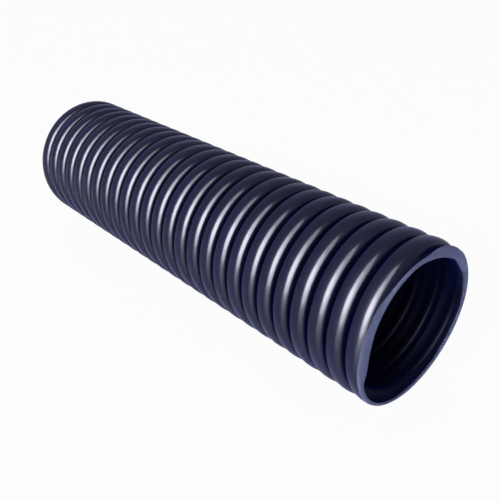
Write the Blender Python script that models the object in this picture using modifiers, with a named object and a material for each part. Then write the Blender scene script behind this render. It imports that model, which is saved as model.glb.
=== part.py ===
"""A cut length of flexible corrugated conduit, modelled as its one moulded piece.

The wall is a single thin skin that rises and falls in a wave, and the wave winds round the
tube as a right-handed helix with one start. A saw has cut the tube square at both ends, so
the last crest and the last groove run out into the cut faces.
Sizes are in metres. The tube lies along X on the plane z = 0, with its middle over the origin.
"""

import math

import bmesh
import bpy

# Driving dimensions of the tube. Diameters are measured across the flats of the faceted round.
LENGTH = 0.384
OUTER_DIAMETER = 0.110
GROOVE_DEPTH = 0.00645
WALL = 0.0018

# The clear bore, through the ridges that the grooves make inside: 93.5 mm
BORE_DIAMETER = OUTER_DIAMETER - 2 * (GROOVE_DEPTH + WALL)

# The wave in the wall, along the tube: broad crests, fuller to the +X side, and narrow grooves
PITCH = 0.01490
GROOVE_FLOOR_WIDTH = 0.0024
CREST_TOP_AHEAD = 0.0016
FRONT_SHOULDER_AHEAD = 0.0052
FRONT_SHOULDER_DROP = 0.0018
REAR_SHOULDER_BEHIND = 0.0055
REAR_SHOULDER_DROP = 0.0009

# How far behind the +X cut the middle of the first crest lies at the top of the tube, in pitches
CREST_PHASE = 0.555

# Facets round the tube: one of them is the flat that it lies on
SIDES = 24

# Spare turns that the saw takes off each end, and how far the saw's block clears the tube
SPARE_TURNS = 2
SAW_CLEARANCE = 0.010

# Finish of the moulded black polyethylene
PLASTIC_COLOR = (0.003, 0.004, 0.020, 1.0)
PLASTIC_ROUGHNESS = 0.28

# Points closer than this are one point
MERGE_DISTANCE = 0.00001

OUTER_RADIUS = OUTER_DIAMETER / 2
GROOVE_RADIUS = BORE_DIAMETER / 2 + WALL
HALF_FACET = math.pi / SIDES


def clear_scene():
    """Remove what the scene holds before the part is built."""
    for thing in list(bpy.data.objects):
        bpy.data.objects.remove(thing, do_unlink=True)


def new_collection(name):
    """Make a collection and link it to the scene."""
    collection = bpy.data.collections.new(name)
    bpy.context.scene.collection.children.link(collection)
    return collection


def plastic_material():
    """Black polyethylene with a soft moulded gloss."""
    material = bpy.data.materials.new("black_polyethylene")
    material.use_nodes = True
    shader = material.node_tree.nodes["Principled BSDF"]
    shader.inputs["Base Color"].default_value = PLASTIC_COLOR
    shader.inputs["Roughness"].default_value = PLASTIC_ROUGHNESS
    shader.inputs["Metallic"].default_value = 0.0
    return material


def wave_points(crest_x):
    """One pitch of the outer skin round a crest, as (x, radius) from groove to groove."""
    half_floor = GROOVE_FLOOR_WIDTH / 2
    half_pitch = PITCH / 2
    return [
        (crest_x + half_pitch + half_floor, GROOVE_RADIUS),
        (crest_x + half_pitch - half_floor, GROOVE_RADIUS),
        (crest_x + FRONT_SHOULDER_AHEAD, OUTER_RADIUS - FRONT_SHOULDER_DROP),
        (crest_x + CREST_TOP_AHEAD, OUTER_RADIUS),
        (crest_x - REAR_SHOULDER_BEHIND, OUTER_RADIUS - REAR_SHOULDER_DROP),
        (crest_x - half_pitch + half_floor, GROOVE_RADIUS),
    ]


def wave_profile_mesh(crest_x):
    """The wave as a chain of edges above the X axis, with its radii out to the facet corners."""
    to_corner = 1 / math.cos(HALF_FACET)
    mesh = bpy.data.meshes.new("wave_profile")
    bm = bmesh.new()
    chain = [bm.verts.new((x, 0.0, radius * to_corner)) for x, radius in wave_points(crest_x)]
    for start, end in zip(chain, chain[1:]):
        bm.edges.new((start, end))
    bm.to_mesh(mesh)
    bm.free()
    return mesh


def make_saw_block(name, start_x, end_x, collection, parent):
    """A block that takes away all of the tube between two stations."""
    reach = OUTER_DIAMETER + 2 * SAW_CLEARANCE
    mesh = bpy.data.meshes.new(name)
    bm = bmesh.new()
    bmesh.ops.create_cube(bm, size=1.0)
    bmesh.ops.scale(bm, vec=(abs(end_x - start_x), reach, reach), verts=bm.verts)
    bmesh.ops.translate(bm, vec=((start_x + end_x) / 2, 0.0, 0.0), verts=bm.verts)
    bm.to_mesh(mesh)
    bm.free()
    block = bpy.data.objects.new(name, mesh)
    block.display_type = "WIRE"
    block.hide_render = True
    block.parent = parent
    collection.objects.link(block)
    return block


def make_tube(collection, cutters, parent):
    """Wind the wave into a helix, give it its wall and saw both ends square."""
    turns = math.ceil(LENGTH / PITCH) + 2 * SPARE_TURNS
    first_crest = LENGTH / 2 - (CREST_PHASE - SPARE_TURNS) * PITCH
    last_crest = first_crest - turns * PITCH
    tube = bpy.data.objects.new("conduit_tube", wave_profile_mesh(last_crest))
    tube.parent = parent
    tube.rotation_euler.x = HALF_FACET
    collection.objects.link(tube)
    tube.data.materials.append(plastic_material())

    helix = tube.modifiers.new("helix", "SCREW")
    helix.axis = "X"
    helix.angle = math.tau
    helix.screw_offset = PITCH
    helix.iterations = turns
    helix.steps = SIDES
    helix.render_steps = SIDES
    helix.use_smooth_shade = True

    joined_turns = tube.modifiers.new("joined_turns", "WELD")
    joined_turns.merge_threshold = MERGE_DISTANCE

    wall = tube.modifiers.new("wall", "SOLIDIFY")
    wall.thickness = WALL
    wall.offset = -1.0
    wall.use_even_offset = True
    wall.use_rim = True

    spare = (SPARE_TURNS + 3) * PITCH
    for name, side in (("saw_near", 1), ("saw_far", -1)):
        cut_x = side * LENGTH / 2
        block = make_saw_block(name, cut_x, cut_x + side * spare, cutters, parent)
        cut = tube.modifiers.new(name, "BOOLEAN")
        cut.operation = "DIFFERENCE"
        cut.solver = "EXACT"
        cut.object = block
    return tube


def main():
    """Build the conduit and lay it on the plane z = 0."""
    clear_scene()
    collection = new_collection("flexible_conduit")
    cutters = new_collection("cutters")
    axis = bpy.data.objects.new("tube_axis", None)
    axis.location.z = OUTER_RADIUS
    collection.objects.link(axis)
    make_tube(collection, cutters, axis)


if __name__ == "__main__":
    main()
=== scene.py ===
"""Looks of a cut length of helically corrugated flexible conduit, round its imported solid."""

import math

import bmesh
import bpy
from bpy.props import FloatProperty, FloatVectorProperty, IntProperty, PointerProperty
from mathutils import Matrix, Vector


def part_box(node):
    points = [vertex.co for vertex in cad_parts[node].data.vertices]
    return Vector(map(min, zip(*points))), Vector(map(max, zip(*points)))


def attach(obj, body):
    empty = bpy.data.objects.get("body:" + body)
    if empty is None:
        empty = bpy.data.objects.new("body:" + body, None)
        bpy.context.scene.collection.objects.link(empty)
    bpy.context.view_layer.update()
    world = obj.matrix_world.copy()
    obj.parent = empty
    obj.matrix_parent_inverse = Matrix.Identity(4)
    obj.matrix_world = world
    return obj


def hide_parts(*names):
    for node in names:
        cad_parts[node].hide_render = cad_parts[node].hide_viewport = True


bl_info = {
    "name": "Flexible conduit",
    "version": (1, 0, 0),
    "blender": (4, 5, 0),
    "location": "View3D > Sidebar > Conduit",
    "description": "Builds a cut length of helically corrugated conduit and its studio",
    "category": "Add Mesh",
}

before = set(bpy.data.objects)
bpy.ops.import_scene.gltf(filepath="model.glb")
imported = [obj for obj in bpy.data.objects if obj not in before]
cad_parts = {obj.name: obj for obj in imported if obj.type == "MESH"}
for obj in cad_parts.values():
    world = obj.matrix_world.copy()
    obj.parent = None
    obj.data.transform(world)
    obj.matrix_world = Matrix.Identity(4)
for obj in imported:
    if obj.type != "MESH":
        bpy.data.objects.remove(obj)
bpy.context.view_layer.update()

TUBE_NODE = "conduit_tube"
TUBE_LOW, TUBE_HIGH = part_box(TUBE_NODE)
AXIS_HEIGHT = (TUBE_LOW.z + TUBE_HIGH.z) / 2


# Property groups

class ConduitSizes(bpy.types.PropertyGroup):
    """Sizes of the tube and of the wave in its wall."""

    length: FloatProperty(
        name="Length", description="From one sawn end to the other",
        default=TUBE_HIGH.x - TUBE_LOW.x, min=0.05, unit="LENGTH",
    )
    outer_diameter: FloatProperty(
        name="Outer diameter", description="Over the crests",
        default=TUBE_HIGH.z - TUBE_LOW.z, min=0.02, unit="LENGTH",
    )
    bore_diameter: FloatProperty(
        name="Bore diameter", description="Clear through the ridges inside",
        default=0.0935, min=0.01, unit="LENGTH",
    )
    wall: FloatProperty(
        name="Wall", description="Thickness of the moulded skin",
        default=0.0018, min=0.0004, unit="LENGTH",
    )
    pitch: FloatProperty(
        name="Pitch", description="From crest to crest along the tube",
        default=0.01490, min=0.004, unit="LENGTH",
    )
    floor_width: FloatProperty(
        name="Groove floor width", description="At the bottom, before it is rounded",
        default=0.0024, min=0.0002, unit="LENGTH",
    )
    floor_rounding: FloatProperty(
        name="Groove floor rounding", description="Radius between flank and groove floor",
        default=0.0007, min=0.0001, unit="LENGTH",
    )
    rear_behind: FloatProperty(
        name="Rear behind", description="From the crest's middle back to its rear edge",
        default=0.0056, min=0.0, unit="LENGTH",
    )
    rear_drop: FloatProperty(
        name="Rear drop", description="How far the crest falls to its rear edge",
        default=0.0006, min=0.0, unit="LENGTH",
    )
    rear_rounding: FloatProperty(
        name="Rear rounding", description="Radius of the crest's rear edge",
        default=0.0020, min=0.0019, unit="LENGTH",
    )
    crown_ahead: FloatProperty(
        name="Crown ahead", description="Where the crest is highest",
        default=-0.0012, unit="LENGTH",
    )
    crown_rounding: FloatProperty(
        name="Crown rounding", description="Radius of the crest's top",
        default=0.0120, min=0.0019, unit="LENGTH",
    )
    slope_ahead: FloatProperty(
        name="Slope ahead", description="Where the crest starts to fall to the front",
        default=0.0031, unit="LENGTH",
    )
    slope_drop: FloatProperty(
        name="Slope drop", description="How far the crest has fallen where the slope starts",
        default=0.0002, min=0.0, unit="LENGTH",
    )
    slope_rounding: FloatProperty(
        name="Slope rounding", description="Radius from the crest's top into the front slope",
        default=0.0070, min=0.0019, unit="LENGTH",
    )
    front_ahead: FloatProperty(
        name="Front ahead", description="From the crest's middle on to its front edge",
        default=0.0057, min=0.0, unit="LENGTH",
    )
    front_drop: FloatProperty(
        name="Front drop", description="How far the crest falls to its front edge",
        default=0.0022, min=0.0, unit="LENGTH",
    )
    front_rounding: FloatProperty(
        name="Front rounding", description="Radius of the crest's front edge",
        default=0.0028, min=0.0019, unit="LENGTH",
    )
    crest_phase: FloatProperty(
        name="Crest phase", description="Pitches from the near cut to the first crest, on top",
        default=0.555, min=0.0, max=1.0,
    )
    edge_break: FloatProperty(
        name="Edge break", description="How far back the outer edge of the cut is trimmed",
        default=0.0012, min=0.0, unit="LENGTH",
    )
    cut_wander: FloatProperty(
        name="Cut wander", description="How far the saw strays from a square cut",
        default=0.0010, min=0.0, unit="LENGTH",
    )
    columns: IntProperty(
        name="Columns", description="Facets round the tube", default=80, min=24, max=96,
    )


class ConduitFinish(bpy.types.PropertyGroup):
    """Colours and gloss of the polyethylene."""

    body_color: FloatVectorProperty(
        name="Body colour", description="Blue-black of the moulded polyethylene",
        subtype="COLOR", size=3, default=(0.003, 0.004, 0.020), min=0.0, max=1.0,
    )
    sawn_color: FloatVectorProperty(
        name="Sawn colour", description="Paler face that the saw left",
        subtype="COLOR", size=3, default=(0.170, 0.190, 0.330), min=0.0, max=1.0,
    )
    bloom_color: FloatVectorProperty(
        name="Bloom colour", description="Bluish haze that the skin shows at a low angle",
        subtype="COLOR", size=3, default=(0.0, 0.04, 0.62), min=0.0, max=1.0,
    )
    bloom: FloatProperty(
        name="Bloom", description="How strong the haze is", default=0.21, min=0.0, max=1.0,
    )
    roughness: FloatProperty(
        name="Roughness", description="Roughness of the polyethylene under its gloss",
        default=0.45, min=0.05, max=1.0,
    )
    gloss: FloatProperty(
        name="Gloss", description="Weight of the gloss on the outside", default=0.40,
        min=0.0, max=1.0,
    )
    gloss_roughness: FloatProperty(
        name="Gloss roughness", description="How soft the gloss is", default=0.20,
        min=0.05, max=1.0,
    )


class StageLook(bpy.types.PropertyGroup):
    """Floor, light and camera of the plain studio."""

    floor_color: FloatVectorProperty(
        name="Floor colour", description="Plain pale floor",
        subtype="COLOR", size=3, default=(0.95, 0.95, 0.95), min=0.0, max=1.0,
    )
    floor_white: FloatProperty(
        name="Floor white", description="How much of the floor is seen as plain white",
        default=0.95, min=0.0, max=1.0,
    )
    mirrored_white: FloatProperty(
        name="Mirrored white", description="How much of the white is seen in reflections",
        default=0.28, min=0.0, max=1.0,
    )
    world_light: FloatProperty(
        name="World light", description="Strength of the light from all round",
        default=0.35, min=0.0, max=2.0,
    )
    lens: FloatProperty(
        name="Lens", description="Focal length of the camera, in millimetres",
        default=46.38, min=10.0, max=200.0,
    )


# Node drawing

class Term:
    """An output socket that takes part in Python arithmetic."""

    def __init__(self, graph, socket):
        self.graph = graph
        self.socket = socket

    def __add__(self, other):
        return self.graph.math("ADD", self, other)

    def __radd__(self, other):
        return self.graph.math("ADD", other, self)

    def __sub__(self, other):
        return self.graph.math("SUBTRACT", self, other)

    def __rsub__(self, other):
        return self.graph.math("SUBTRACT", other, self)

    def __mul__(self, other):
        return self.graph.math("MULTIPLY", self, other)

    def __rmul__(self, other):
        return self.graph.math("MULTIPLY", other, self)

    def __truediv__(self, other):
        return self.graph.math("DIVIDE", self, other)

    def __rtruediv__(self, other):
        return self.graph.math("DIVIDE", other, self)

    def __neg__(self):
        return self.graph.math("MULTIPLY", self, -1.0)


class Graph:
    """Draws nodes into a tree and hands back their outputs as terms."""

    def __init__(self, tree):
        self.tree = tree

    def feed(self, socket, value):
        """Link a term to a socket, or write a plain value on it."""
        if isinstance(value, Term):
            self.tree.links.new(value.socket, socket)
        else:
            socket.default_value = value

    def node(self, kind, settings=None, inputs=None, output=0):
        """Add a node, set it up, feed its sockets and return one output."""
        node = self.tree.nodes.new(kind)
        for name, value in (settings or {}).items():
            setattr(node, name, value)
        for name, value in (inputs or {}).items():
            self.feed(node.inputs[name], value)
        return Term(self, node.outputs[output])

    def math(self, operation, *values):
        """A Math node on terms and plain values."""
        return self.node("ShaderNodeMath", {"operation": operation}, dict(enumerate(values)))

    def maximum(self, first, second):
        return self.math("MAXIMUM", first, second)

    def minimum(self, first, second):
        return self.math("MINIMUM", first, second)

    def mix(self, share, first, second):
        """Blend of two colours."""
        return self.node(
            "ShaderNodeMix", {"data_type": "RGBA"}, {"Factor": share, "A": first, "B": second},
            output=2,
        )

    def share(self, value):
        """A value held between none and all."""
        return self.maximum(self.minimum(value, 1.0), 0.0)

    def noise(self, place, scale, detail):
        """A noise round zero, within a half to either side."""
        return self.node(
            "ShaderNodeTexNoise", inputs={"Vector": place, "Scale": scale, "Detail": detail}
        ) - 0.5

    def parts(self, vector):
        """The X, Y and Z of a vector as three terms."""
        node = self.node("ShaderNodeSeparateXYZ", inputs={0: vector}).socket.node
        return [Term(self, socket) for socket in node.outputs]

    def vector(self, x, y, z):
        """A vector of three values."""
        return self.node("ShaderNodeCombineXYZ", inputs={0: x, 1: y, 2: z})


# The wave in the wall

# Steps round each corner, for the outer skin, the inner skin and the curves of their radius:
# floor, rear edge, crown, front slope, front edge, floor
OUTER_STEPS = (3, 5, 2, 5, 4, 3)
INNER_STEPS = (3, 1, 1, 1, 1, 3)
FINE_STEPS = (6, 10, 4, 10, 8, 6)

# Phase of a crest's middle in its pitch, from groove to groove
CREST_MIDDLE = 0.5

# Spare turns of the wave past each cut
SPARE_TURNS = 2

# Where the top of the tube lies on the unrolled wall, in turns
TOP_TURN = 0.25

# Points closer than this are one point
WELD_DISTANCE = 0.00001

# Edges that turn more than this stay sharp
SHARP_ANGLE = math.radians(35)

# How much less far back the sawn ring starts in the bore than on the skin, in edge breaks
RING_SLANT = 0.2

# The sawn ring from the skin to the bore: how far back, in edge breaks, and how deep in the wall
CUT_RING = (
    (1.0, 0.0), (0.50, 0.10), (0.18, 0.23), (0.0, 0.42), (0.0, 0.75), (0.0, 1.10), (0.12, 1.26),
    (0.35, 1.28), (1.0 - RING_SLANT, 1.0),
)

# The saw's way round a cut: steady part, then cosine and sine parts of once and twice round
SAW_WAY = (0.10, -0.24, 1.15, 0.39, 0.21)

# How far from a cut the wall starts to follow the stray, and over what length it comes to it
STRAY_REACH = 0.007
STRAY_RISE = 0.005

# The rough part of the stray: its share, and its noise's scale, detail and place at each cut
ROUGH_SHARE = 0.5
ROUGH_NOISE = (2.5, 3.0)
ROUGH_PLACE = 3.0


def round_corners(corners, roundings, counts):
    """Points along a chain, each with its outward normal, with every inner corner rounded off."""
    rows = [(corners[0], Vector((0.0, 1.0)))]
    for number, (rounding, steps) in enumerate(zip(roundings, counts), 1):
        before = (corners[number] - corners[number - 1]).normalized()
        after = (corners[number + 1] - corners[number]).normalized()
        turn = math.atan2(before.x * after.y - before.y * after.x, before.dot(after))
        side = math.copysign(rounding, turn)
        normal = Vector((-before.y, before.x))
        centre = corners[number] - before * rounding * math.tan(abs(turn) / 2) + normal * side
        for step in range(steps + 1):
            angle = turn * step / steps
            turned = Matrix.Rotation(angle, 2) @ normal
            rows.append((centre - turned * side, turned))
    rows.append((corners[-1], Vector((0.0, 1.0))))
    return rows


def wave_rows(sizes, counts, lift=0.0):
    """One pitch of the outer skin from groove to groove, as (along, radius) and outward normal."""
    groove_radius = sizes.bore_diameter / 2 + sizes.wall
    top = sizes.outer_diameter / 2 + lift
    end = sizes.pitch / 2
    foot = end - sizes.floor_width / 2
    corners = [
        Vector((-end, groove_radius)),
        Vector((-foot, groove_radius)),
        Vector((-sizes.rear_behind, top - sizes.rear_drop)),
        Vector((sizes.crown_ahead, top)),
        Vector((sizes.slope_ahead, top - sizes.slope_drop)),
        Vector((sizes.front_ahead, top - sizes.front_drop)),
        Vector((foot, groove_radius)),
        Vector((end, groove_radius)),
    ]
    roundings = (
        sizes.floor_rounding, sizes.rear_rounding, sizes.crown_rounding,
        sizes.slope_rounding, sizes.front_rounding, sizes.floor_rounding,
    )
    return round_corners(corners, roundings, counts)


def crown_lift(sizes):
    """How much higher the crest's corners stand so that its rounded top has the outer diameter."""
    top = max(point.y for point, normal in wave_rows(sizes, FINE_STEPS))
    return sizes.outer_diameter / 2 - top


def skin_points(sizes, depth, counts):
    """One pitch of the skin that lies a depth below the outer one, as (along, radius)."""
    rows = wave_rows(sizes, counts, crown_lift(sizes))
    return [point - normal * depth for point, normal in rows]


def sheet_rows(bm, rows, angles, flip):
    """A grid of faces over rows of (along, depth) and columns of angle."""
    grid = [[bm.verts.new((along, angle, depth)) for angle in angles] for along, depth in rows]
    for lower, upper in zip(grid, grid[1:]):
        for column in range(len(angles) - 1):
            ring = [lower[column], upper[column], upper[column + 1], lower[column + 1]]
            bm.faces.new(reversed(ring) if flip else ring)
    return [vert for row in grid for vert in row]


def flat_wall_mesh(sizes):
    """The wall unrolled: X along the tube, Y the angle round it, Z the depth from skin to bore.

    It holds one pitch of the outer skin, one of the inner skin, and the two sawn rings.
    """
    mesh = bpy.data.meshes.new("unrolled_wall")
    bm = bmesh.new()
    ring_mark = bm.verts.layers.float.new("sawn_ring")
    angles = [math.tau * column / sizes.columns for column in range(sizes.columns + 1)]
    outer = skin_points(sizes, 0.0, OUTER_STEPS)
    inner = skin_points(sizes, sizes.wall, INNER_STEPS)
    sheet_rows(bm, [(point.x, 0.0) for point in outer], angles, True)
    sheet_rows(bm, [(point.x, 1.0) for point in inner], angles, False)
    for side in (1, -1):
        rows = [
            (side * (sizes.length / 2 - sizes.edge_break * back), depth) for back, depth in CUT_RING
        ]
        for vert in sheet_rows(bm, rows, angles, side < 0):
            vert[ring_mark] = 1.0
    bm.to_mesh(mesh)
    bm.free()
    return mesh


WALL_INPUTS = (
    "Length", "Pitch", "Outer Radius", "Depth", "Crest Phase", "Edge Break", "Cut Wander",
    "Axis Height",
)


def skin_radius(graph, phase, given, points, sizes):
    """Radius of a skin at a phase of the wave, which its own curve holds as a share of the depth."""
    lookup = graph.node("ShaderNodeFloatCurve", inputs={"Value": phase})
    mapping = lookup.socket.node.mapping
    curve = mapping.curves[0]
    depth = (sizes.outer_diameter - sizes.bore_diameter) / 2
    shares = [
        (point.x / sizes.pitch + CREST_MIDDLE, (sizes.outer_diameter / 2 - point.y) / depth)
        for point in points
    ]
    for spot, end in zip(curve.points, (shares[0], shares[-1])):
        spot.location = end
    for place, share in shares[1:-1]:
        curve.points.new(place, share)
    for spot in curve.points:
        spot.handle_type = "VECTOR"
    mapping.update()
    return given["Outer Radius"] - given["Depth"] * lookup


def saw_way(cosine, sine):
    """How far forward the saw went at an angle round the cut, in parts of the cut wander."""
    steady, cosine_once, sine_once, cosine_twice, sine_twice = SAW_WAY
    once = cosine * cosine_once + sine * sine_once
    twice = (cosine * cosine - sine * sine) * cosine_twice + cosine * sine * (2 * sine_twice)
    return once + twice + steady


def helical_wall_tree(material, sizes):
    """Geometry Nodes that repeat the unrolled pitch, shear it to a helix and roll it up."""
    tree = bpy.data.node_groups.new("helical_wall", "GeometryNodeTree")
    tree.interface.new_socket("Geometry", in_out="INPUT", socket_type="NodeSocketGeometry")
    tree.interface.new_socket("Geometry", in_out="OUTPUT", socket_type="NodeSocketGeometry")
    tree.interface.new_socket("Turns", in_out="INPUT", socket_type="NodeSocketInt")
    for name in WALL_INPUTS:
        tree.interface.new_socket(name, in_out="INPUT", socket_type="NodeSocketFloat")
    graph = Graph(tree)
    group_input = tree.nodes.new("NodeGroupInput")
    given = {name: Term(graph, group_input.outputs[name]) for name in WALL_INPUTS}
    sheet = Term(graph, group_input.outputs["Geometry"])
    turns = Term(graph, group_input.outputs["Turns"])

    mark = graph.node(
        "GeometryNodeInputNamedAttribute", {"data_type": "FLOAT"}, {"Name": "sawn_ring"}
    )
    apart = graph.node(
        "GeometryNodeSeparateGeometry", {"domain": "POINT"}, {"Geometry": sheet, "Selection": mark}
    ).socket.node
    rings = Term(graph, apart.outputs["Selection"])
    one_pitch = Term(graph, apart.outputs["Inverted"])

    # The copies start so that a crest passes the top of the tube a crest phase behind the cut
    behind = turns - (SPARE_TURNS - TOP_TURN) + given["Crest Phase"]
    first = 0.5 * given["Length"] - behind * given["Pitch"]
    line = graph.node(
        "GeometryNodeMeshLine", {"mode": "OFFSET"},
        {"Count": turns, "Start Location": graph.vector(first, 0.0, 0.0),
         "Offset": graph.vector(given["Pitch"], 0.0, 0.0)},
    )
    copies = graph.node("GeometryNodeInstanceOnPoints", inputs={"Points": line, "Instance": one_pitch})
    skins = graph.node("GeometryNodeRealizeInstances", inputs={"Geometry": copies})

    # Shear to the helix, and stop at the two cuts
    along, angle, depth = graph.parts(graph.node("GeometryNodeInputPosition"))
    lead = given["Pitch"] * angle / math.tau
    reach = given["Length"] / 2.0 - given["Edge Break"] * (1.0 - RING_SLANT * depth)
    sheared = graph.maximum(graph.minimum(along + lead, reach), -reach)
    skins = graph.node(
        "GeometryNodeSetPosition",
        inputs={"Geometry": skins, "Position": graph.vector(sheared, angle, depth)},
    )
    join = tree.nodes.new("GeometryNodeJoinGeometry")
    for part in (rings, skins):
        tree.links.new(part.socket, join.inputs[0])

    # Let the saw stray a little round each cut
    along, angle, depth = graph.parts(graph.node("GeometryNodeInputPosition"))
    side = graph.math("SIGN", along)
    past_cut = graph.math("ABSOLUTE", along) - given["Length"] / 2.0
    near_cut = graph.share((past_cut + STRAY_REACH) / STRAY_RISE)
    cosine = graph.math("COSINE", angle)
    sine = graph.math("SINE", angle)
    rough = graph.noise(graph.vector(cosine, sine, ROUGH_PLACE * side), *ROUGH_NOISE)
    stray = given["Cut Wander"] * near_cut * (saw_way(side * cosine, sine) + ROUGH_SHARE * rough)
    strayed = graph.node(
        "GeometryNodeSetPosition",
        inputs={
            "Geometry": Term(graph, join.outputs[0]),
            "Position": graph.vector(along + side * stray, angle, depth),
        },
    )

    # Roll the sheet up, each skin at the wave's radius there
    along, angle, depth = graph.parts(graph.node("GeometryNodeInputPosition"))
    crest = given["Length"] / 2.0 - given["Crest Phase"] * given["Pitch"]
    lead = given["Pitch"] * (angle - math.tau * TOP_TURN) / math.tau
    turned = (along - crest - lead) / given["Pitch"] + CREST_MIDDLE
    phase = turned - graph.math("FLOOR", turned)
    outer = skin_radius(graph, phase, given, skin_points(sizes, 0.0, FINE_STEPS), sizes)
    inner = skin_radius(graph, phase, given, skin_points(sizes, sizes.wall, FINE_STEPS), sizes)
    radius = outer + (inner - outer) * depth
    rolled = graph.node(
        "GeometryNodeSetPosition",
        inputs={
            "Geometry": strayed,
            "Position": graph.vector(
                along,
                radius * graph.math("COSINE", angle),
                radius * graph.math("SINE", angle) + given["Axis Height"],
            ),
        },
    )
    welded = graph.node(
        "GeometryNodeMergeByDistance", inputs={"Geometry": rolled, "Distance": WELD_DISTANCE}
    )
    real = graph.node("GeometryNodeRealizeInstances", inputs={"Geometry": welded})
    painted = graph.node("GeometryNodeSetMaterial", inputs={"Geometry": real, "Material": material})
    group_output = tree.nodes.new("NodeGroupOutput")
    tree.links.new(painted.socket, group_output.inputs["Geometry"])
    return tree


def set_inputs(modifier, values):
    """Write a Geometry Nodes modifier's inputs by their sockets' identifiers."""
    for item in modifier.node_group.interface.items_tree:
        if item.item_type == "SOCKET" and item.in_out == "INPUT" and item.name in values:
            modifier[item.identifier] = values[item.name]


# Materials

BLACK = (0.0, 0.0, 0.0, 1.0)
WHITE = (1.0, 1.0, 1.0, 1.0)

# Noise in the plastic, as scale and detail: broad clouds, and fine grain
CLOUD_NOISE = (40.0, 4.0)
GRAIN_NOISE = (900.0, 2.0)

# How far below the crests the grooves' painted shade and lower gloss end, over what height they fade,
# and how much the clouds move that edge
GROOVE_DEPTH = 0.0034
GROOVE_FADE = 0.0012
GROOVE_CLOUD = 0.5

# What the grooves keep of the colour under their painted shade, and of the gloss
GROOVE_SHADE_COLOR_SHARE = 0.3
GROOVE_GLOSS = 0.4

# Rubs on the crests: scales along and across the tube, detail, level, contrast and strength
RUB_SCALE_ALONG = 70.0
RUB_SCALE_ACROSS = 1500.0
RUB_DETAIL = 3.0
RUB_LEVEL = 0.10
RUB_CONTRAST = 8.0
RUB_STRENGTH = 0.10

# Where the clouds let rubs show: their contrast and their middle
RUB_CLOUD_CONTRAST = 5.0
RUB_CLOUD_MIDDLE = 0.4

# Lines that the blade left: their turn as cosine and sine, and scales across and along them
STROKE_TURN = (0.87, 0.5)
STROKE_SCALES = (2400.0, 160.0)
STROKE_DETAIL = 2.0
STROKE_CONTRAST = 1.6

# How strongly the lines show on the sawn face, and over what length that face ends in the skin
STROKE_STRENGTH = 0.62
SAWN_FADE = 0.0003

# What the gloss loses in the bore, on the sawn face and on a rub, and gains or loses by clouds
BORE_DULLING = 0.95
SAWN_DULLING = 0.85
RUB_DULLING = 0.5
CLOUD_GLOSS = 0.3

# How sharply the gloss ends where the wall turns to the bore
BORE_CONTRAST = 4.0

# What clouds, rubs and the sawn face add to the roughness, and what the grain adds
UNEVENNESS = 0.15
GRAIN_UNEVENNESS = 0.10

# Relief of the grain, and how much stronger that of the blade's lines is
RELIEF_STRENGTH = 0.05
RELIEF_DEPTH = 0.0002
STROKE_RELIEF = 3.0

# Plain reflection of the plastic under its gloss, and how wide its haze spreads
BODY_SPECULAR = 0.02
BLOOM_ROUGHNESS = 0.5


def handling_rubs(graph, along, across, up, cloud):
    """Fine rubs along the tube, where it has been handled."""
    stretched = graph.vector(
        along * RUB_SCALE_ALONG, across * RUB_SCALE_ACROSS, up * RUB_SCALE_ACROSS
    )
    rubs = graph.share(RUB_CONTRAST * (graph.noise(stretched, 1.0, RUB_DETAIL) - RUB_LEVEL))
    return rubs * graph.share(RUB_CLOUD_CONTRAST * cloud + RUB_CLOUD_MIDDLE)


def blade_strokes(graph, across, up):
    """Straight lines over the sawn face, as a value round zero."""
    cosine, sine = STROKE_TURN
    scale_across, scale_along = STROKE_SCALES
    stretched = graph.vector(
        0.0,
        scale_across * (cosine * across + sine * up),
        scale_along * (cosine * up - sine * across),
    )
    return graph.noise(stretched, 1.0, STROKE_DETAIL)


def sawn_share(graph, along, across, height, radius, cloud, sizes):
    """How much a spot belongs to the sawn face: it starts where the strayed edge is trimmed."""
    stray = sizes.cut_wander * saw_way(graph.math("SIGN", along) * across / radius, height / radius)
    past_edge = graph.math("ABSOLUTE", along) - sizes.length / 2 + sizes.edge_break - stray
    return graph.share(past_edge / SAWN_FADE + 1.0 + cloud)


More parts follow.
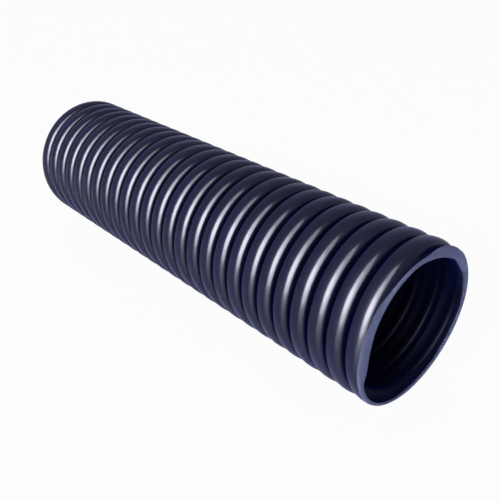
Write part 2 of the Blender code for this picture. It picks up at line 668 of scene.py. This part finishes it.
def polyethylene_material(finish, sizes):
    """Blue-black moulded polyethylene with soft gloss, scuffed crests, painted shade in the grooves
    and a paler sawn face.
    """
    material = bpy.data.materials.new("moulded_polyethylene")
    material.use_nodes = True
    graph = Graph(material.node_tree)
    shader = material.node_tree.nodes["Principled BSDF"]
    body_color = (*finish.body_color, 1.0)
    sawn_color = (*finish.sawn_color, 1.0)
    place = graph.node("ShaderNodeTexCoord", output="Object")
    along, across, up = graph.parts(place)
    height = up - AXIS_HEIGHT
    radius = graph.math("SQRT", across * across + height * height)
    cloud = graph.noise(place, *CLOUD_NOISE)
    grain = graph.noise(place, *GRAIN_NOISE)

    # Painted shade down in the grooves: the colour darkens toward black there, and the grooves are
    # cleaner of rubs
    above_groove = radius - (sizes.outer_diameter / 2 - GROOVE_DEPTH)
    crest = graph.share(above_groove / GROOVE_FADE + GROOVE_CLOUD * cloud)
    # Painted shade: the body colour is mixed toward black where the crest share falls, down in the
    # grooves
    skin = graph.mix(GROOVE_SHADE_COLOR_SHARE + (1.0 - GROOVE_SHADE_COLOR_SHARE) * crest, BLACK, body_color)
    rubs = crest * handling_rubs(graph, along, across, up, cloud)
    skin = graph.mix(RUB_STRENGTH * rubs, skin, sawn_color)

    # The sawn ring, with the lines that the blade left
    sawn = sawn_share(graph, along, across, height, radius, cloud, sizes)
    stroke = blade_strokes(graph, across, up)
    face = graph.mix(graph.share(0.5 + STROKE_CONTRAST * stroke), BLACK, sawn_color)
    face = graph.mix(STROKE_STRENGTH, sawn_color, face)
    graph.feed(shader.inputs["Base Color"], graph.mix(sawn, skin, face))

    # Gloss on the moulded outside: the bore and the sawn ring are dull
    facing = graph.parts(graph.node("ShaderNodeNewGeometry", output="Normal"))
    outward = (facing[1] * across + facing[2] * height) / radius
    inside = graph.share(-BORE_CONTRAST * outward)
    gloss = (1.0 - BORE_DULLING * inside) * (1.0 - SAWN_DULLING * sawn) * (1.0 - RUB_DULLING * rubs)
    gloss = gloss * (GROOVE_GLOSS + (1.0 - GROOVE_GLOSS) * crest) * (1.0 + CLOUD_GLOSS * cloud)
    graph.feed(shader.inputs["Coat Weight"], finish.gloss * gloss)
    rough = finish.roughness + UNEVENNESS * (cloud + rubs + sawn) + GRAIN_UNEVENNESS * grain
    graph.feed(shader.inputs["Roughness"], rough)

    relief = grain * (1.0 - sawn) + STROKE_RELIEF * stroke * sawn
    bump = graph.node(
        "ShaderNodeBump",
        inputs={"Strength": RELIEF_STRENGTH, "Distance": RELIEF_DEPTH, "Height": relief},
    )
    graph.feed(shader.inputs["Normal"], bump)
    shader.inputs["Specular IOR Level"].default_value = BODY_SPECULAR
    shader.inputs["Coat Roughness"].default_value = finish.gloss_roughness
    shader.inputs["Sheen Weight"].default_value = finish.bloom
    shader.inputs["Sheen Roughness"].default_value = BLOOM_ROUGHNESS
    shader.inputs["Sheen Tint"].default_value = (*finish.bloom_color, 1.0)
    return material


# The floor: its grain's scale, its reflection, and its roughness with what the grain adds
FLOOR_GRAIN_SCALE = 30.0
FLOOR_SPECULAR = 0.3
FLOOR_ROUGHNESS = 0.22
FLOOR_UNEVENNESS = 0.05


def seen_share(graph, look):
    """How much of its white a thing shows to a ray: all when looked at, part in a reflection."""
    path = graph.node("ShaderNodeLightPath").socket.node
    camera, glossy, clear = [
        Term(graph, path.outputs[f"Is {kind} Ray"]) for kind in ("Camera", "Glossy", "Transmission")
    ]
    return graph.maximum(camera, look.mirrored_white * graph.maximum(glossy, clear))


def floor_material(look):
    """Plain pale floor that is seen nearly white and keeps a soft shadow."""
    material = bpy.data.materials.new("pale_floor")
    material.use_nodes = True
    graph = Graph(material.node_tree)
    shader = material.node_tree.nodes["Principled BSDF"]
    grain = graph.node("ShaderNodeTexNoise", inputs={"Scale": FLOOR_GRAIN_SCALE})
    shader.inputs["Base Color"].default_value = (*look.floor_color, 1.0)
    shader.inputs["Specular IOR Level"].default_value = FLOOR_SPECULAR
    graph.feed(shader.inputs["Roughness"], FLOOR_ROUGHNESS + FLOOR_UNEVENNESS * grain)
    white = graph.node("ShaderNodeEmission", inputs={"Color": WHITE, "Strength": 1.0})
    share = seen_share(graph, look) * look.floor_white
    surface = graph.node(
        "ShaderNodeMixShader", inputs={0: share, 1: Term(graph, shader.outputs[0]), 2: white}
    )
    output = material.node_tree.nodes["Material Output"]
    graph.feed(output.inputs["Surface"], surface)
    return material


def studio_world(look):
    """White surroundings that light the tube at a plain level."""
    world = bpy.data.worlds.new("studio")
    world.use_nodes = True
    graph = Graph(world.node_tree)
    background = world.node_tree.nodes["Background"]
    background.inputs["Color"].default_value = WHITE
    share = seen_share(graph, look)
    graph.feed(background.inputs["Strength"], look.world_light + (1.0 - look.world_light) * share)
    return world


# Operators

FLOOR_SIZE = 8.0

# Where the lamps stand, seen from the tube
LAMP_DIRECTION = Vector((0.156, -0.833, 0.531)).normalized()

# The key lamp, which gloss doesn't show: width and length, brightness, and how far it stands
KEY_SIZE = (1.2, 1.2)
KEY_BRIGHTNESS = 17.0
KEY_DISTANCE = 3.3

# Panels that only gloss shows, one behind the other, so that the highlight fades off both ways:
# width, length, brightness, and how far it stands to the +X side
GLOSS_PANELS = ((1.9, 2.0, 20.0, -0.05), (2.6, 4.6, 17.0, 0.1), (3.4, 12.0, 13.0, 0.7))
PANEL_DISTANCE = 3.0
PANEL_GAP = 0.05
PANEL_COLOR = (0.94, 0.95, 1.0)

# The camera's axes, and its place from the middle of the near end, in radii of the tube
CAMERA_RIGHT = Vector((0.6677, 0.7444, 0.0))
CAMERA_UP = Vector((-0.3636, 0.3261, 0.8726))
CAMERA_BACK = Vector((0.6496, -0.5826, 0.4884))
CAMERA_PLACE = Vector((3.0778, -5.2245, 4.2064))


class CONDUIT_OT_make_tube(bpy.types.Operator):
    """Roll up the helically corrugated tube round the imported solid"""

    bl_idname = "conduit.make_tube"
    bl_label = "Make tube"

    def execute(self, context):
        sizes = context.scene.conduit_sizes
        finish = context.scene.conduit_finish
        material = polyethylene_material(finish, sizes)
        maker = bpy.data.objects.new("wall_maker", flat_wall_mesh(sizes))
        context.scene.collection.objects.link(maker)
        nodes = maker.modifiers.new("helical_wall", "NODES")
        nodes.node_group = helical_wall_tree(material, sizes)
        set_inputs(nodes, {
            "Turns": math.ceil(sizes.length / sizes.pitch) + 2 * SPARE_TURNS,
            "Length": sizes.length,
            "Pitch": sizes.pitch,
            "Outer Radius": sizes.outer_diameter / 2,
            "Depth": (sizes.outer_diameter - sizes.bore_diameter) / 2,
            "Crest Phase": sizes.crest_phase,
            "Edge Break": sizes.edge_break,
            "Cut Wander": sizes.cut_wander,
            "Axis Height": AXIS_HEIGHT,
        })
        context.view_layer.update()
        depsgraph = context.evaluated_depsgraph_get()
        mesh = bpy.data.meshes.new_from_object(maker.evaluated_get(depsgraph))
        bpy.data.objects.remove(maker)
        mesh.name = "corrugated_tube"
        mesh.shade_smooth()
        mesh.set_sharp_from_angle(angle=SHARP_ANGLE)
        tube = bpy.data.objects.new("corrugated_tube", mesh)
        context.scene.collection.objects.link(tube)
        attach(tube, "root")
        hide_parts(TUBE_NODE)
        return {"FINISHED"}


class CONDUIT_OT_make_stage(bpy.types.Operator):
    """Set up the plain floor, the soft lamps and the camera"""

    bl_idname = "conduit.make_stage"
    bl_label = "Make stage"

    def execute(self, context):
        look = context.scene.conduit_stage
        scene = context.scene
        bpy.ops.mesh.primitive_plane_add(size=FLOOR_SIZE, location=(0.0, 0.0, 0.0))
        floor = context.object
        floor.name = "floor"
        floor.data.materials.append(floor_material(look))

        scene.world = studio_world(look)
        key = make_lamp(context, "key", KEY_SIZE, KEY_BRIGHTNESS, 0.0, KEY_DISTANCE)
        key.visible_glossy = False
        for number, (width, length, brightness, beside) in enumerate(GLOSS_PANELS):
            away = PANEL_DISTANCE + PANEL_GAP * number
            panel = make_lamp(context, "gloss_panel", (width, length), brightness, beside, away)
            panel.visible_diffuse = False
            panel.data.color = PANEL_COLOR

        camera = bpy.data.objects.new("camera", bpy.data.cameras.new("camera"))
        scene.collection.objects.link(camera)
        camera.data.lens = look.lens
        near_end = Vector((scene.conduit_sizes.length / 2, 0.0, AXIS_HEIGHT))
        radius = scene.conduit_sizes.outer_diameter / 2
        turn = Matrix((CAMERA_RIGHT, CAMERA_UP, CAMERA_BACK)).transposed().to_4x4()
        camera.matrix_world = Matrix.Translation(near_end + radius * CAMERA_PLACE) @ turn
        scene.camera = camera
        scene.view_settings.view_transform = "Standard"
        return {"FINISHED"}


def make_lamp(context, name, size, brightness, beside, away):
    """A soft oval lamp beside and away from the tube, with its brightness per area."""
    width, length = size
    data = bpy.data.lights.new(name, "AREA")
    data.shape = "ELLIPSE"
    data.size = width
    data.size_y = length
    data.energy = brightness * math.pi * (width * length * math.pi / 4)
    lamp = bpy.data.objects.new(name, data)
    back = LAMP_DIRECTION
    right = Vector((1.0, 0.0, 0.0))
    right = (right - back * right.dot(back)).normalized()
    turn = Matrix((right, back.cross(right), back)).transposed().to_4x4()
    lamp.matrix_world = Matrix.Translation(beside * right + away * back) @ turn
    context.scene.collection.objects.link(lamp)
    return lamp


class CONDUIT_PT_builder(bpy.types.Panel):
    """The conduit's sizes, finish and operators"""

    bl_idname = "CONDUIT_PT_builder"
    bl_label = "Flexible conduit"
    bl_space_type = "VIEW_3D"
    bl_region_type = "UI"
    bl_category = "Conduit"

    def draw(self, context):
        layout = self.layout
        for group in ("conduit_sizes", "conduit_finish", "conduit_stage"):
            settings = getattr(context.scene, group)
            for name in settings.__annotations__:
                layout.prop(settings, name)
        layout.operator(CONDUIT_OT_make_tube.bl_idname)
        layout.operator(CONDUIT_OT_make_stage.bl_idname)


CLASSES = (
    ConduitSizes, ConduitFinish, StageLook,
    CONDUIT_OT_make_tube, CONDUIT_OT_make_stage, CONDUIT_PT_builder,
)


def register():
    for cls in CLASSES:
        bpy.utils.register_class(cls)
    bpy.types.Scene.conduit_sizes = PointerProperty(type=ConduitSizes)
    bpy.types.Scene.conduit_finish = PointerProperty(type=ConduitFinish)
    bpy.types.Scene.conduit_stage = PointerProperty(type=StageLook)


def unregister():
    del bpy.types.Scene.conduit_stage
    del bpy.types.Scene.conduit_finish
    del bpy.types.Scene.conduit_sizes
    for cls in reversed(CLASSES):
        bpy.utils.unregister_class(cls)


def main():
    register()
    bpy.ops.conduit.make_tube()
    bpy.ops.conduit.make_stage()


if __name__ == "__main__":
    main()
